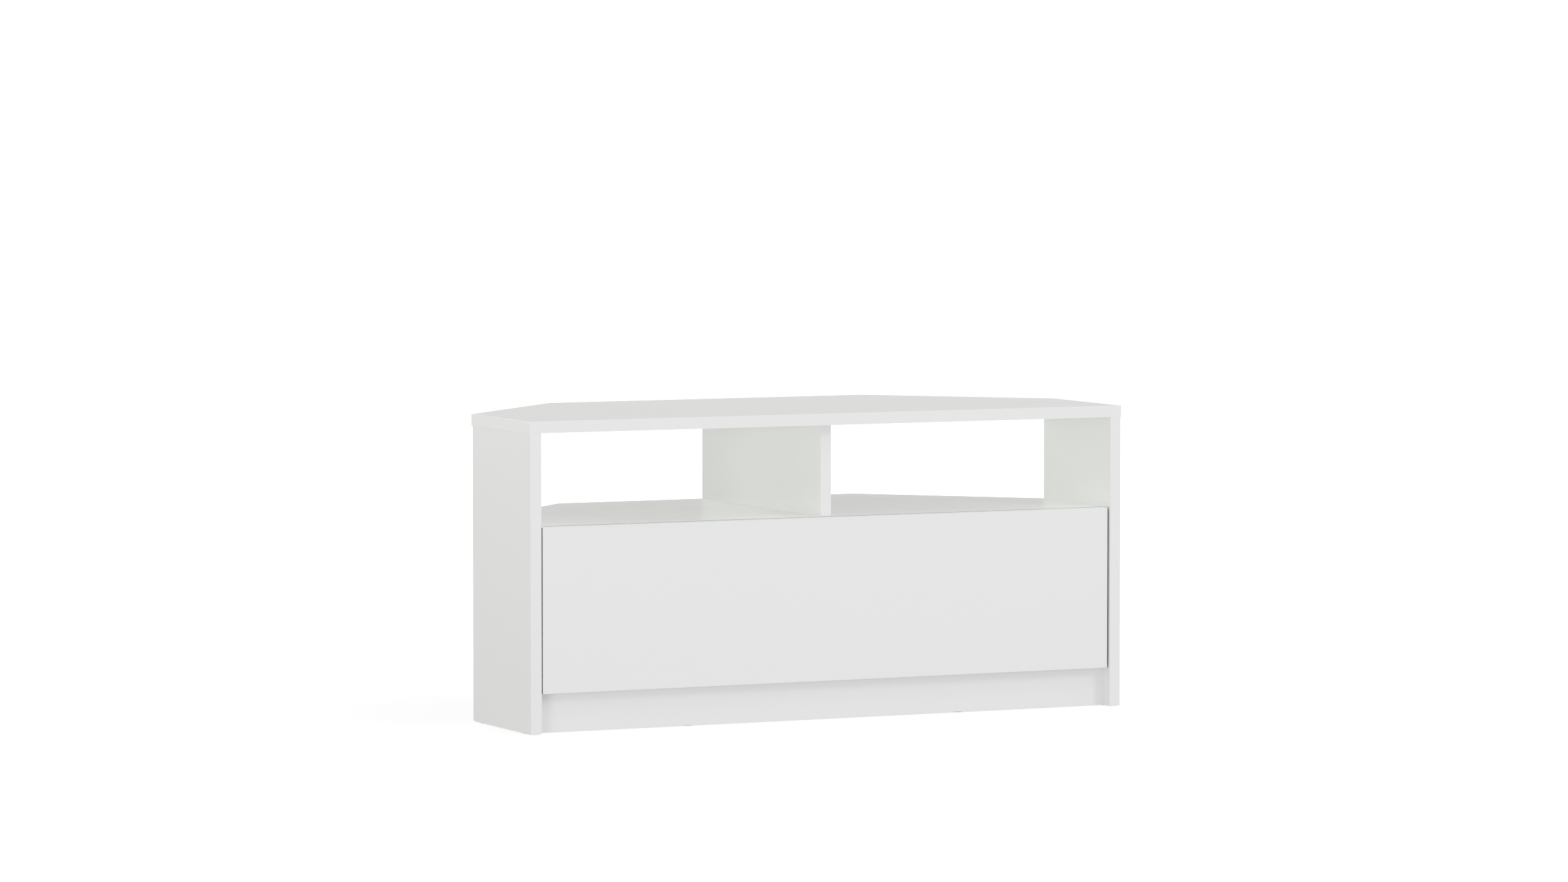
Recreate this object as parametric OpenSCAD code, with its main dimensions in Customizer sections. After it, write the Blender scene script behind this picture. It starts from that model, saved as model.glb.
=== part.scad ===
// Corner media cabinet: a six-sided top, two open niches, and a drop-down flap over a closed compartment.
// Millimetres. +Z is up, X runs across the front and -Y faces the room.
// The origin is on the floor, under the middle of the footprint.

/* [Overall] */
// Width over the two side panels
body_w = 1001; // [980:1:1020]
// Depth from the front edges to the straight back edge
depth = 452; // [448:1:470]
// Height from the floor to the top surface
height = 470; // [460:1:520]
// Length of the straight back edge of the top
back_w = 547; // [536:1:556]

/* [Boards] */
// Thickness of the carcass boards
board_t = 18; // [18:0.5:19]
// Overhang of the top past each side panel
top_over = 1.5; // [0.5:0.5:3]
// Set-back of the divider, middle shelf and plinth from the front edges
front_inset = 21; // [21:0.5:24]
// Height of the middle shelf's upper face
shelf_top = 311.5; // [305:0.5:320]
// Height of the plinth, up to the bottom shelf
plinth_h = 59.5; // [58:0.5:70]
// Extra set-back of the bottom shelf, so that the flap can swing
flap_relief = 3; // [3:0.5:5]
// Thickness of the edge banding
band_t = 1; // [0.8:0.1:1.5]
// Thickness of the back panels
back_panel_t = 3; // [2.5:0.5:4]
// Height of the glides under the boards
glide_h = 1; // [0.8:0.1:2]

/* [Flap] */
// Thickness of the flap
door_t = 16; // [16:0.5:17]
// Gap between the flap and each side panel
door_gap = 3; // [2:0.5:4]
// Set-back of the flap's face from the front edges
door_setback = 3; // [2.5:0.5:3]
// Gap between the plinth's top and the flap's lower edge
door_lift = 1; // [1:0.5:2]
// Drop of the flap's top edge below the niche floor
door_drop = 0.5; // [0:0.5:2]
// Distance of each hinge from the middle
hinge_x = 330; // [250:5:380]
// Thickness of the black seals on the flap's two short edges
end_seal_t = 0.8; // [0.5:0.1:1.2]
// Thickness of the black seal on the front edge of the middle shelf
shelf_seal_t = 1.2; // [0.8:0.1:1.4]

/* [Flap stays and latch] */
// Radius of the stay rods
rod_r = 3; // [2.5:0.25:3]
// Height of the stay's bracket pin over the flap's pivot
stay_rise = 103.5; // [100:0.5:110]
// Angle of the swivel's place, seen from the flap's pivot
swivel_angle = 54; // [50:1:58]

/* [Hidden] */
$fn = 48;

// Finishes
white = [0.93, 0.935, 0.93];
band_white = [0.95, 0.95, 0.945];
hardboard = [0.62, 0.47, 0.33];
beech = [0.82, 0.66, 0.46];
zinc = [0.72, 0.73, 0.75];
steel = [0.62, 0.63, 0.65];
grey_plastic = [0.55, 0.56, 0.57];
clear_rubber = [0.85, 0.87, 0.88];
black_foam = [0.1, 0.1, 0.1];

// Plan of the boards. y_at(d) is d behind the plane of the front edges.
function y_at(d) = d - depth / 2;
top_w = body_w + 2 * top_over;
corner_run = (top_w - back_w) / 2;
top_side_d = depth - corner_run;
side_d = top_side_d - 1.5;
shelf_side_d = side_d + 5;
side_in = body_w / 2 - board_t;
side_mid = body_w / 2 - board_t / 2;
shelf_diag = side_in + y_at(shelf_side_d);
shelf_back_x = shelf_diag - y_at(depth);
top_z = height - board_t;
shelf_z = shelf_top - board_t;
floor_top = plinth_h + board_t;
relief_d = front_inset + flap_relief;
plinth_y = y_at(front_inset + board_t / 2);
back_board_y = y_at(depth - board_t / 2);
rear_plinth_w = 480;
rear_plinth_y = y_at(depth - 29);

// Flap, with its pivot inside its own thickness near the lower edge
door_x = side_in - door_gap;
door_z = plinth_h + door_lift;
door_h = shelf_top - door_drop - door_z;
door_back_d = door_setback + door_t;
pivot_y = y_at(door_back_d - 9.5);
pivot_z = door_z + 7.5;

// Cup hinge, measured from the pivot: y backwards, z up
cup_r = 17.5;
cup_up = 13.5;
cup_depth = 12.7;
cup_face = 9.5;
hinge_pin_r = 1.25;
hinge_pin_x = 9;
knuckle_r = 2;
cup_screw_x = 22.5;
cup_screw_up = 9.5;
wing_t = 1.2;
arm_wall = 1.2;
nose_x = 4.8;
nose_low = floor_top - pivot_z + 0.7;
nose_high = nose_low + 5.3;
arm_front = y_at(relief_d) - pivot_y - 1;
arm_len = 54.5;
arm_x = 8;
arm_high = nose_low + 11.8;
plate_y = y_at(relief_d + 37) - pivot_y;
plate_z = floor_top - pivot_z;

// Brake stay. The bracket pin and the swivel are equally far from the flap's pivot,
// so the rod and the swivel both turn by exactly half the flap's angle.
bracket_out = 11;
stay_pin_y = y_at(door_back_d + bracket_out);
stay_pin_z = pivot_z + stay_rise;
stay_pin_angle = atan2(stay_rise, stay_pin_y - pivot_y);
stay_r = norm([stay_pin_y - pivot_y, stay_rise]);
swivel_y = pivot_y + stay_r * cos(swivel_angle);
swivel_z = pivot_z + stay_r * sin(swivel_angle);
rod_tilt = (stay_pin_angle + swivel_angle) / 2 - 90;
open_span = 2 * stay_r * sin((stay_pin_angle - swivel_angle + 90) / 2);
rod_x = side_in - 14;
swivel_half = 15;
swivel_r = 9;
rod_len = open_span + swivel_half + 0.4;
stop_len = 5;
stay_axle_r = 4;
eye_r = 6.5;
stay_screw_z = 20;
bracket_pin_r = 2.5;

// Touch latch under the middle shelf
latch_z = shelf_z - 11;
plunger_r = 5;
magnet_d = door_back_d + 1.3;
magnet_t = 2;
latch_d = relief_d + 2;
latch_len = 60;
strike_t = 1.2;

// Wood screws, dowels, cams and nails
screw_r = 1.5;
pan_r = 3.2;
pan_h = 1.5;
screw_len = 12.5;
dowel_r = 4;
dowel_in = 11;
dowel_out = 19;
bore_clear = 0.05;
cam_r = 7.4;
cam_back = 24;
cam_deep = 12.7;
bolt_r = 2.5;
confirmat_r = 2.5;
confirmat_len = 48;
nail_r = 0.7;
nail_len = 20;
nail_head_r = 2.2;
glide_r = 8;
glide_pin_r = 1.2;
glide_pin_h = 11;

// Places of the repeated hardware: [point, rotation], where local +Z runs into the second board
side_ys = [y_at(60), y_at(side_d - 41)];
shelf_mids = [shelf_z + board_t / 2, plinth_h + board_t / 2];
dowel_spots = concat(
    [for (s = [-1, 1], d = [40, side_d / 2, side_d - 40]) [[s * side_mid, y_at(d), top_z], [0, 0, 0]]],
    [for (d = [70, depth / 2, depth - 52]) [[0, y_at(d), top_z], [0, 0, 0]]],
    [for (d = [50, depth - 112]) [[0, y_at(d), shelf_top], [180, 0, 0]]],
    [for (s = [-1, 1], z = shelf_mids) [[s * side_in, y_at(side_d / 2), z], [0, s * 90, 0]]],
    [for (s = [-1, 1]) [[s * side_in, plinth_y, plinth_h - 12], [0, s * 90, 0]]],
    [for (x = [-210, -60, 60, 210]) [[x, back_board_y, shelf_z], [0, 0, 0]]]
);
shelf_cam_spots = [
    for (s = [-1, 1], z = shelf_mids, y = side_ys) [[s * side_in, y, z], [-90, 0, -s * 90]]
];
plinth_cam_spots = [for (s = [-1, 1]) [[s * side_in, plinth_y, plinth_h / 2], [0, s * 90, 0]]];
back_cam_spots = [for (x = [-140, 140]) [[x, back_board_y, shelf_z], [0, 0, 180]]];
cam_spots = concat(shelf_cam_spots, plinth_cam_spots, back_cam_spots);
confirmat_spots = concat(
    [for (d = [120, 270, depth - 32]) [[0, y_at(d), shelf_z], [0, 0, 0]]],
    [for (x = [-140, 140]) [[x, back_board_y, plinth_h], [0, 0, 0]]],
    [for (x = [-180, 180]) [[x, rear_plinth_y, floor_top], [180, 0, 0]]]
);
glide_spots = concat(
    [for (s = [-1, 1], d = [30, side_d - 30]) [s * side_mid, y_at(d)]],
    [for (x = [-230, 230], y = [plinth_y, rear_plinth_y]) [x * (y == plinth_y ? 1 : 0.9), y]]
);
nail_shares = [0.08, 0.29, 0.5, 0.71, 0.92];

// Outline of a six-sided board with 45-degree back corners, moved inwards by e on every edge
function corner_outline(half_w, side_y, front_y, back_y, e) =
    let (diag = half_w + side_y - e * sqrt(2), x = half_w - e, y = back_y - e)
    [[-x, front_y + e], [x, front_y + e], [x, diag - x], [diag - y, y], [y - diag, y], [-x, diag - x]];

module slab(points, z, t) translate([0, 0, z]) linear_extrude(t) polygon(points);

module box(low, high) translate(low) cube(high - low);

module rod(p, rot, r, h) translate(p) rotate(rot) cylinder(r = r, h = h);

module put(spot) translate(spot[0]) rotate(spot[1]) children();

module on_side(s) mirror([s < 0 ? 1 : 0, 0, 0]) children();

// ---- Fasteners ----

module dowel() {
    ends = 1;
    translate([0, 0, -dowel_out + ends]) cylinder(r = dowel_r, h = dowel_out + dowel_in - 2 * ends);
    translate([0, 0, -dowel_out]) cylinder(r1 = dowel_r - ends, r2 = dowel_r, h = ends);
    translate([0, 0, dowel_in - ends]) cylinder(r1 = dowel_r, r2 = dowel_r - ends, h = ends);
}

module dowel_bore() {
    slack = 0.5;
    len = dowel_out + dowel_in + 2 * slack;
    translate([0, 0, -dowel_out - slack]) cylinder(r = dowel_r + bore_clear, h = len);
}

// Cam joint: the cam's board is at z < 0 with its drilled face on +y, and the bolt bites at z > 0.
module cam_bolt() {
    cylinder(r = bolt_r, h = 11);
    translate([0, 0, -3]) cylinder(r = 3.5, h = 3);
    translate([0, 0, -cam_back + 2]) cylinder(r = 1.75, h = cam_back - 5);
    translate([0, 0, -cam_back - 2]) cylinder(r = 3.2, h = 4);
}

module cam_housing() {
    slot = 1.2;
    difference() {
        translate([0, board_t / 2 - cam_deep + 0.3, -cam_back])
            rotate([-90, 0, 0])
                cylinder(r = cam_r, h = cam_deep - 0.5);
        translate([0, 0, -cam_back - 3]) cylinder(r = 3.6, h = cam_back);
        for (a = [0, 90])
            translate([0, board_t / 2, -cam_back])
                rotate([0, a, 0])
                    box([-slot / 2, -3, -4], [slot / 2, 1, 4]);
    }
}

module cam_bore() {
    translate([0, 0, -cam_back]) cylinder(r = 3.8, h = cam_back);
    cylinder(r = bolt_r + bore_clear, h = 11.5);
    translate([0, board_t / 2 - cam_deep, -cam_back])
        rotate([-90, 0, 0])
            cylinder(r = cam_r + 0.1, h = cam_deep + 1);
}

// Confirmat screw: its head is flush with the face it enters.
module confirmat() {
    head = 3;
    difference() {
        union() {
            cylinder(r = 4.8, h = head);
            translate([0, 0, head]) cylinder(r = 3.4, h = board_t - head);
            cylinder(r = confirmat_r, h = confirmat_len);
        }
        translate([0, 0, -1]) cylinder(r = 2, h = 3, $fn = 6);
    }
}

module confirmat_bore() {
    translate([0, 0, -1]) cylinder(r = 5, h = 4.1);
    cylinder(r = 3.5, h = board_t + 0.1);
    cylinder(r = confirmat_r + bore_clear, h = confirmat_len + 1);
}

// Pan-head wood screw: its head stands on z = 0 and its shank runs to -z.
module wood_screw(shank = screw_len) {
    difference() {
        union() {
            cylinder(r1 = pan_r, r2 = pan_r - 0.9, h = pan_h);
            translate([0, 0, -shank]) cylinder(r = screw_r, h = shank);
            translate([0, 0, -shank - 2]) cylinder(r1 = 0.3, r2 = screw_r, h = 2);
        }
        for (a = [0, 90])
            rotate([0, 0, a])
                box([-1.6, -0.35, pan_h - 0.8], [1.6, 0.35, pan_h + 1]);
    }
}

module screw_bore(shank = screw_len) {
    deep = shank + 2.3;
    translate([0, 0, -deep]) cylinder(r = screw_r + bore_clear, h = deep + 0.1);
}

// Places along the right-hand diagonal, on the back panel's outer face
module at_nails() {
    for (share = nail_shares, z = shelf_mids) {
        x = side_in + (shelf_back_x - side_in) * share;
        off = back_panel_t / sqrt(2);
        translate([x + off, shelf_diag - x + off, z]) rotate([90, 0, 135]) children();
    }
}

module nail() {
    head = 0.8;
    cylinder(r = nail_head_r, h = head);
    translate([0, 0, -nail_len]) cylinder(r = nail_r, h = nail_len);
}

module nail_bore() translate([0, 0, -nail_len - 0.3]) cylinder(r = nail_r + bore_clear, h = nail_len + 1);

// ---- Boards ----

module top_slab(inset, z, t) {
    slab(corner_outline(top_w / 2, y_at(top_side_d), y_at(0), y_at(depth), inset), z, t);
}

module top_board() {
    color(white) difference() {
        top_slab(band_t, top_z, board_t);
        for (spot = dowel_spots) if (spot[0].z == top_z) put(spot) dowel_bore();
    }
}

module top_edge_band() {
    color(band_white) difference() {
        top_slab(0, top_z, board_t);
        top_slab(band_t, top_z - 1, board_t + 2);
    }
}

module side(s) {
    color(white) difference() {
        box([min(s * side_in, s * body_w / 2), y_at(band_t), glide_h],
            [max(s * side_in, s * body_w / 2), y_at(side_d - band_t), top_z]);
        for (spot = dowel_spots) if (spot[0].x * s >= side_in) put(spot) dowel_bore();
        for (spot = concat(shelf_cam_spots, plinth_cam_spots)) if (spot[0].x * s > 0) put(spot) cam_bore();
        for (spot = glide_spots) if (spot.x * s > side_in) glide_bore(spot);
        on_side(s) at_base_screws() screw_bore(8);
    }
}

module at_base_screws()
    for (z = [-1, 1])
        translate([side_in, swivel_y, swivel_z + z * stay_screw_z]) rotate([0, -90, 0]) children();

module side_edge_bands() {
    color(band_white)
        for (s = [-1, 1], d = [0, side_d - band_t])
            on_side(s) box([side_in, y_at(d), glide_h], [body_w / 2, y_at(d + band_t), top_z]);
}

module divider() {
    color(white) difference() {
        box([-board_t / 2, y_at(front_inset + band_t), shelf_top],
            [board_t / 2, y_at(depth - band_t), top_z]);
        for (spot = dowel_spots) if (spot[0].x == 0) put(spot) dowel_bore();
        for (spot = confirmat_spots) if (spot[0].x == 0) put(spot) confirmat_bore();
    }
}

module divider_edge_bands() {
    color(band_white)
        for (d = [front_inset, depth - band_t])
            box([-board_t / 2, y_at(d), shelf_top], [board_t / 2, y_at(d + band_t), top_z]);
}

module shelf_core(z, front_d) {
    slab(corner_outline(side_in, y_at(shelf_side_d), y_at(front_d), y_at(depth), 0), z, board_t);
}

module shelf_nail_bores() for (s = [-1, 1]) on_side(s) at_nails() nail_bore();

module middle_shelf() {
    color(white) difference() {
        shelf_core(shelf_z, front_inset + band_t);
        for (spot = dowel_spots)
            if (spot[0].z >= shelf_z && spot[0].z <= shelf_top) put(spot) dowel_bore();
        for (spot = concat(shelf_cam_spots, back_cam_spots)) if (spot[0].z >= shelf_z) put(spot) cam_bore();
        for (spot = confirmat_spots) if (spot[0].z == shelf_z) put(spot) confirmat_bore();
        shelf_nail_bores();
        at_latch_screws() screw_bore(8);
    }
}

module bottom_shelf() {
    color(white) difference() {
        shelf_core(plinth_h, relief_d + band_t);
        for (spot = dowel_spots) if (spot[0].z == plinth_h + board_t / 2) put(spot) dowel_bore();
        for (spot = shelf_cam_spots) if (spot[0].z < shelf_z) put(spot) cam_bore();
        for (spot = confirmat_spots) if (spot[0].z < shelf_z) put(spot) confirmat_bore();
        shelf_nail_bores();
        at_hinges() at_plate_screws() screw_bore();
    }
}

module shelf_edge_bands() {
    color(band_white) {
        box([-side_in, y_at(front_inset), shelf_z], [side_in, y_at(front_inset + band_t), shelf_top]);
        box([-side_in, y_at(relief_d), plinth_h], [side_in, y_at(relief_d + band_t), floor_top]);
    }
}

// Foam strip that the closed flap covers, just under the shelf's front arris
module shelf_seal() {
    top = shelf_top - 0.28;
    seal_h = 4;
    end_gap = 4;
    color(black_foam)
        box([end_gap - side_in, y_at(front_inset - shelf_seal_t), top - seal_h],
            [side_in - end_gap, y_at(front_inset), top]);
}

module front_plinth() {
    color(white) difference() {
        box([-side_in, plinth_y - board_t / 2, glide_h], [side_in, plinth_y + board_t / 2, plinth_h]);
        for (spot = dowel_spots) if (spot[0].z < plinth_h) put(spot) dowel_bore();
        for (spot = plinth_cam_spots) put(spot) cam_bore();
        for (spot = glide_spots) if (spot.y == plinth_y) glide_bore(spot);
    }
}

module back_board() {
    color(white) difference() {
        box([-shelf_back_x, back_board_y - board_t / 2, floor_top],
            [shelf_back_x, back_board_y + board_t / 2, shelf_z]);
        for (spot = dowel_spots) if (spot[0].y == back_board_y) put(spot) dowel_bore();
        for (spot = back_cam_spots) put(spot) cam_bore();
        for (spot = confirmat_spots) if (spot[0].y == back_board_y) put(spot) confirmat_bore();
    }
}

module rear_plinth() {
    color(white) difference() {
        box([-rear_plinth_w / 2, rear_plinth_y - board_t / 2, glide_h],
            [rear_plinth_w / 2, rear_plinth_y + board_t / 2, plinth_h]);
        for (spot = confirmat_spots) if (spot[0].y == rear_plinth_y) put(spot) confirmat_bore();
        for (spot = glide_spots) if (spot.y == rear_plinth_y) glide_bore(spot);
    }
}

// Thin panel over the diagonal opening of the compartment, from the side panel to the back board
module back_panel(s) {
    near_y = y_at(side_d + 0.5);
    far_y = y_at(depth - 3);
    off = back_panel_t / sqrt(2);
    margin = 2;
    color(hardboard) on_side(s) difference() {
        slab([[shelf_diag - near_y, near_y], [shelf_diag - near_y + off, near_y + off],
              [shelf_diag - far_y + off, far_y + off], [shelf_diag - far_y, far_y]],
             plinth_h + margin, board_t + shelf_z - plinth_h - 2 * margin);
        at_nails() nail_bore();
    }
}

module back_panel_nails() color(steel) for (s = [-1, 1]) on_side(s) at_nails() nail();

module dowels() color(beech) for (spot = dowel_spots) put(spot) dowel();

module cam_housings() color(zinc) for (spot = cam_spots) put(spot) cam_housing();

module cam_bolts() color(steel) for (spot = cam_spots) put(spot) cam_bolt();

module confirmat_screws() color(zinc) for (spot = confirmat_spots) put(spot) confirmat();

module glides() {
    color(grey_plastic)
        for (spot = glide_spots)
            translate(spot) {
                cylinder(r = glide_r, h = glide_h);
                cylinder(r = glide_pin_r, h = glide_h + glide_pin_h);
            }
}

module glide_bore(spot) {
    translate(spot) cylinder(r = glide_pin_r + bore_clear, h = glide_h + glide_pin_h + 0.5);
}

// ---- Flap ----

module door_panel() {
    color(white) difference() {
        box([band_t - door_x, y_at(door_setback), door_z + band_t],
            [door_x - band_t, y_at(door_back_d), door_z + door_h - band_t]);
        at_hinges() {
            rod([0, cup_face - cup_depth - 0.1, cup_up], [-90, 0, 0], cup_r, cup_depth + 1);
            at_cup_screws() screw_bore();
        }
        for (s = [-1, 1]) on_side(s) at_bracket_screws() screw_bore();
        strike_at() screw_bore(screw_len - 2);
    }
}

module door_edge_band() {
    color(band_white) difference() {
        box([-door_x, y_at(door_setback), door_z], [door_x, y_at(door_back_d), door_z + door_h]);
        box([band_t - door_x, y_at(door_setback) - 1, door_z + band_t],
            [door_x - band_t, y_at(door_back_d) + 1, door_z + door_h - band_t]);
    }
}

// Foam strips on the front half of the flap's short edges, in the gaps beside it
module flap_end_seals() {
    from_face = 0.6;
    strip_w = 8;
    margin = 0.4;
    color(black_foam)
        for (s = [-1, 1])
            on_side(s)
                box([door_x, y_at(door_setback + from_face), door_z + margin],
                    [door_x + end_seal_t, y_at(door_setback + from_face + strip_w),
                     door_z + door_h - margin]);
}

module door_bumpers() {
    bumper_t = front_inset - door_back_d - 0.2;
    color(clear_rubber)
        for (s = [-1, 1])
            rod([s * (door_x - 39), y_at(door_back_d), shelf_z + board_t / 2], [-90, 0, 0], 4, bumper_t);
}

// ---- Hinges, in a frame whose origin is on the flap's pivot ----

module at_hinge(s) translate([s * hinge_x, pivot_y, pivot_z]) children();

module at_hinges() for (s = [-1, 1]) at_hinge(s) children();

module at_cup_screws()
    for (s = [-1, 1])
        translate([s * cup_screw_x, cup_face + wing_t, cup_up + cup_screw_up]) rotate([-90, 0, 0]) children();

module at_plate_screws() for (s = [-1, 1]) translate([s * 16, plate_y, plate_z + 1.8]) children();

module hinge_cup(s) {
    wing_r = 5.5;
    rim = 1.2;
    color(zinc) at_hinge(s) difference() {
        union() {
            rod([0, cup_face - cup_depth, cup_up], [-90, 0, 0], cup_r - bore_clear, cup_depth);
            rod([0, cup_face, cup_up], [-90, 0, 0], cup_r + rim, wing_t);
            box([-cup_screw_x, cup_face, cup_up + cup_screw_up - wing_r],
                [cup_screw_x, cup_face + wing_t, cup_up + cup_screw_up + wing_r]);
            for (x = [-1, 1])
                rod([x * cup_screw_x, cup_face, cup_up + cup_screw_up], [-90, 0, 0], wing_r, wing_t);
        }
        box([-nose_x - 0.8, -knuckle_r - 0.3, -knuckle_r - 0.4],
            [nose_x + 0.8, cup_face + 2, cup_up + cup_screw_up + wing_r + 1]);
        box([-nose_x - 0.8, cup_face, -8], [nose_x + 0.8, cup_face + 2, 0]);
        rod([-hinge_pin_x, 0, 0], [0, 90, 0], hinge_pin_r + 0.02, 2 * hinge_pin_x);
        at_cup_screws() translate([0, 0, -3]) cylinder(r = screw_r + 0.15, h = 4);
    }
}

module hinge_pins() {
    color(steel) at_hinges() rod([-hinge_pin_x, 0, 0], [0, 90, 0], hinge_pin_r, 2 * hinge_pin_x);
}

module hinge_arm(s) {
    back = arm_front + arm_len;
    low = nose_low + 1.8;
    edge_r = 2.5;
    color(zinc) at_hinge(s) difference() {
        union() {
            rod([-nose_x, 0, 0], [0, 90, 0], knuckle_r, 2 * nose_x);
            box([-nose_x, -1.5, 0], [nose_x, knuckle_r, nose_high]);
            box([-nose_x, -1.5, nose_low], [nose_x, arm_front + 4, nose_high]);
            difference() {
                union() {
                    box([-arm_x, arm_front, low], [arm_x, back, arm_high - edge_r]);
                    box([edge_r - arm_x, arm_front, low], [arm_x - edge_r, back, arm_high]);
                    for (x = [edge_r - arm_x, arm_x - edge_r])
                        rod([x, arm_front, arm_high - edge_r], [-90, 0, 0], edge_r, arm_len);
                }
                box([arm_wall - arm_x, arm_front + 8, nose_low],
                    [arm_x - arm_wall, back + 1, arm_high - arm_wall]);
            }
        }
        rod([-nose_x - 1, 0, 0], [0, 90, 0], hinge_pin_r + 0.05, 2 * nose_x + 2);
        translate([0, plate_y - 8, plate_z]) cylinder(r = 2.1, h = 20);
        translate([0, arm_front + 5, arm_high - 3]) cylinder(r = 1.55, h = 4);
    }
}

module hinge_plate(s) {
    color(zinc) at_hinge(s) difference() {
        union() {
            box([-16, plate_y - 6.5, plate_z], [16, plate_y + 6.5, plate_z + 1.8]);
            for (x = [-16, 16]) translate([x, plate_y, plate_z]) cylinder(r = 6.5, h = 1.8);
            box([-6, arm_front + 10, plate_z], [6, plate_y + 9, arm_high - arm_wall]);
        }
        at_plate_screws() translate([0, 0, -3]) cylinder(r = screw_r + 0.15, h = 4);
        translate([0, plate_y - 8, plate_z + 1]) cylinder(r = 2.05, h = 15);
    }
}

module hinge_plate_screws() color(steel) at_hinges() at_plate_screws() wood_screw();

module hinge_cup_screws() color(steel) at_hinges() at_cup_screws() wood_screw();

// Machine screw on z = 0 with a cross slot
module arm_screw(head_r, head_h, shank_r, shank) {
    difference() {
        union() {
            cylinder(r = head_r, h = head_h);
            translate([0, 0, -shank]) cylinder(r = shank_r, h = shank);
        }
        for (a = [0, 90])
            rotate([0, 0, a])
                box([0.7 - head_r, -0.35, head_h / 2], [head_r - 0.7, 0.35, head_h + 1]);
    }
}

// The fixing screw, and the adjusting screw near the nose
module hinge_arm_screws() {
    color(steel)
        at_hinges() {
            translate([0, plate_y - 8, arm_high]) arm_screw(3.2, 1.6, 2, 9);
            translate([0, arm_front + 5, arm_high]) arm_screw(2.4, 0.8, 1.5, 2.8);
        }
}

// ---- Brake stays: base and swivel on the side panel, rod and bracket on the flap ----

module stay_base(s) {
    plate_t = 2.6;
    color(zinc) on_side(s) translate([side_in, swivel_y, swivel_z]) difference() {
        union() {
            box([-plate_t, -9, -stay_screw_z], [0, 9, stay_screw_z]);
            for (z = [-1, 1]) rod([-plate_t, 0, z * stay_screw_z], [0, 90, 0], 9, plate_t);
            rod([-4.5, 0, 0], [0, 90, 0], 7, 4.5);
            rod([-9.5, 0, 0], [0, 90, 0], stay_axle_r, 9.5);
        }
        for (z = [-1, 1]) rod([-plate_t - 1, 0, z * stay_screw_z], [0, 90, 0], screw_r + 0.15, plate_t + 2);
    }
}

module stay_base_screws() {
    color(steel) for (s = [-1, 1]) on_side(s) at_base_screws() translate([0, 0, 2.6]) wood_screw(10);
}

module at_swivel(s) on_side(s) translate([rod_x, swivel_y, swivel_z]) rotate([rod_tilt, 0, 0]) children();

module stay_swivel(s) {
    inner = -8;
    outer = 9;
    half_flat = swivel_half - swivel_r;
    color(grey_plastic) at_swivel(s) difference() {
        union() {
            box([inner, -half_flat, -swivel_r], [outer, half_flat, swivel_r]);
            for (y = [-1, 1]) rod([inner, y * half_flat, 0], [0, 90, 0], swivel_r, outer - inner);
        }
        rod([0, -swivel_half - 1, 0], [-90, 0, 0], rod_r + 0.3, 2 * swivel_half + 2);
        rod([4.3, 0, 0], [0, 90, 0], stay_axle_r + 0.05, outer);
        rod([inner - 1, 0, 0], [0, 90, 0], 2.05, 5);
    }
}

module brake_screw(s) {
    color(zinc) at_swivel(s) difference() {
        union() {
            rod([-11, 0, 0], [0, 90, 0], 4.5, 3);
            rod([-8, 0, 0], [0, 90, 0], 2, 3.5);
        }
        box([-12, -0.5, -5], [-10, 0.5, 5]);
    }
}

module at_stay_pin(s) on_side(s) translate([rod_x, stay_pin_y, stay_pin_z]) children();

module stay_rod(s) {
    color(steel) at_stay_pin(s) rotate([rod_tilt, 0, 0]) difference() {
        union() {
            rod([-2, 0, 0], [0, 90, 0], eye_r, 4);
            rod([0, 5, 0], [-90, 0, 0], rod_r, rod_len + stop_len + 1 - 5);
        }
        rod([-3, 0, 0], [0, 90, 0], bracket_pin_r + 0.05, 6);
    }
}

module rod_stop(s) {
    color(grey_plastic) at_stay_pin(s) rotate([rod_tilt, 0, 0]) difference() {
        rod([0, rod_len, 0], [-90, 0, 0], 5.5, stop_len);
        rod([0, rod_len - 1, 0], [-90, 0, 0], rod_r + 0.02, stop_len + 2);
    }
}

module stay_bracket(s) {
    plate_t = 2;
    ear_t = 3;
    ear_gap = 3.5;
    color(zinc) at_stay_pin(s) difference() {
        union() {
            box([-20, -bracket_out, -16], [8.5, plate_t - bracket_out, 16]);
            for (x = [-ear_gap - ear_t, ear_gap]) {
                box([x, -bracket_out, -eye_r], [x + ear_t, 0, eye_r]);
                rod([x, 0, 0], [0, 90, 0], eye_r, ear_t);
            }
        }
        rod([-8, 0, 0], [0, 90, 0], bracket_pin_r + 0.02, 16);
        for (z = [-1, 1]) rod([-13.5, -bracket_out - 1, z * 10], [-90, 0, 0], screw_r + 0.15, plate_t + 2);
    }
}

module stay_bracket_pins() {
    half = 6.5;
    color(steel)
        for (s = [-1, 1])
            at_stay_pin(s) {
                rod([-half - 1, 0, 0], [0, 90, 0], 4, 1);
                rod([-half, 0, 0], [0, 90, 0], bracket_pin_r, 2 * half);
                rod([half, 0, 0], [0, 90, 0], 4, 1);
            }
}

module at_bracket_screws()
    for (z = [-1, 1])
        translate([rod_x - 13.5, y_at(door_back_d + 2), stay_pin_z + z * 10])
            rotate([-90, 0, 0])
                children();

module stay_bracket_screws() color(steel) for (s = [-1, 1]) on_side(s) at_bracket_screws() wood_screw();

// ---- Touch latch ----

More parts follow.
